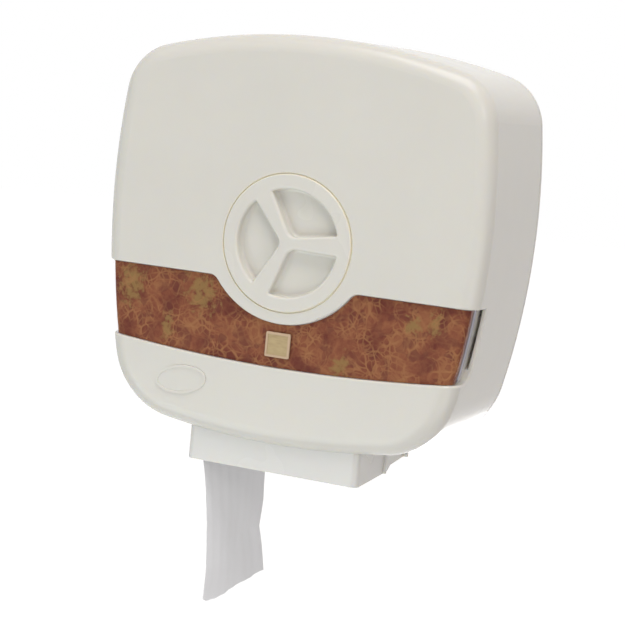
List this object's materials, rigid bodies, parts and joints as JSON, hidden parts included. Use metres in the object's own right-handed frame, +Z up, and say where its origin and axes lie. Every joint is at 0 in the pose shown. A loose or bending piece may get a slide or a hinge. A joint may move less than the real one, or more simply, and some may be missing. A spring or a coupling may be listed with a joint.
{
  "type": "toilet roll dispenser",
  "caption": "Wall-mounted jumbo toilet roll dispenser: rounded square moulded cover with a window band, round knob latch, hub for a large roll and a split paper outlet.",
  "frame": {"origin": "on the wall face of the back plate, in line with the knob and the spindle", "axes": "+Z up, +Y into the wall, the cover faces -Y, +X to the right seen from the front"},
  "size_m": [0.282, 0.1158, 0.4029],
  "materials": {
    "cover_plastic": "glossy warm cream moulded plastic",
    "plate_plastic": "glossy cream moulded plastic",
    "hub_plastic": "satin off-white moulded plastic",
    "latch_plastic": "satin grey moulded plastic",
    "clear_plastic": "clear polished plastic",
    "decor_print": "brown marbled print on plastic sheet",
    "tile_plastic": "glossy beige plastic",
    "steel": "bright zinc-plated steel",
    "board": "plain brown board",
    "tissue": "soft light grey-white tissue"
  },
  "bodies": {
    "base": {"back_plate": "plate_plastic", "spindle": "hub_plastic", "spindle_screws": "steel", "latch_keeper": "latch_plastic", "keeper_screws": "steel", "outlet_rear": "plate_plastic", "outlet_rear_screws": "steel", "paper_sheet": "tissue", "thrust_washer": "latch_plastic"},
    "roll": {"roll_hub": "hub_plastic", "core_tube": "board", "paper_roll": "tissue"},
    "cover": {"front_cover": "cover_plastic", "outlet_front": "cover_plastic", "outlet_front_screws": "steel", "window_lens": "clear_plastic", "decor_panel": "decor_print", "square_tile": "tile_plastic"},
    "knob": {"latch_knob": "cover_plastic", "latch_retainer": "latch_plastic", "retainer_screws": "steel", "slip_ring": "steel", "latch_stem": "latch_plastic", "stem_screw": "steel"}
  },
  "joints": [
    {"name": "roll_spin", "type": "hinge", "parent": "base", "child": "roll", "pos_m": [0, -0.055, 0], "axis": [0, -1, 0], "continuous": true},
    {"name": "cover_pull", "type": "slide", "parent": "base", "child": "cover", "axis": [0, -1, 0], "range_m": [0, 0.12]},
    {"name": "knob_turn", "type": "hinge", "parent": "cover", "child": "knob", "pos_m": [0, -0.11, 0], "axis": [0, -1, 0], "range_deg": [0, 90]}
  ]
}
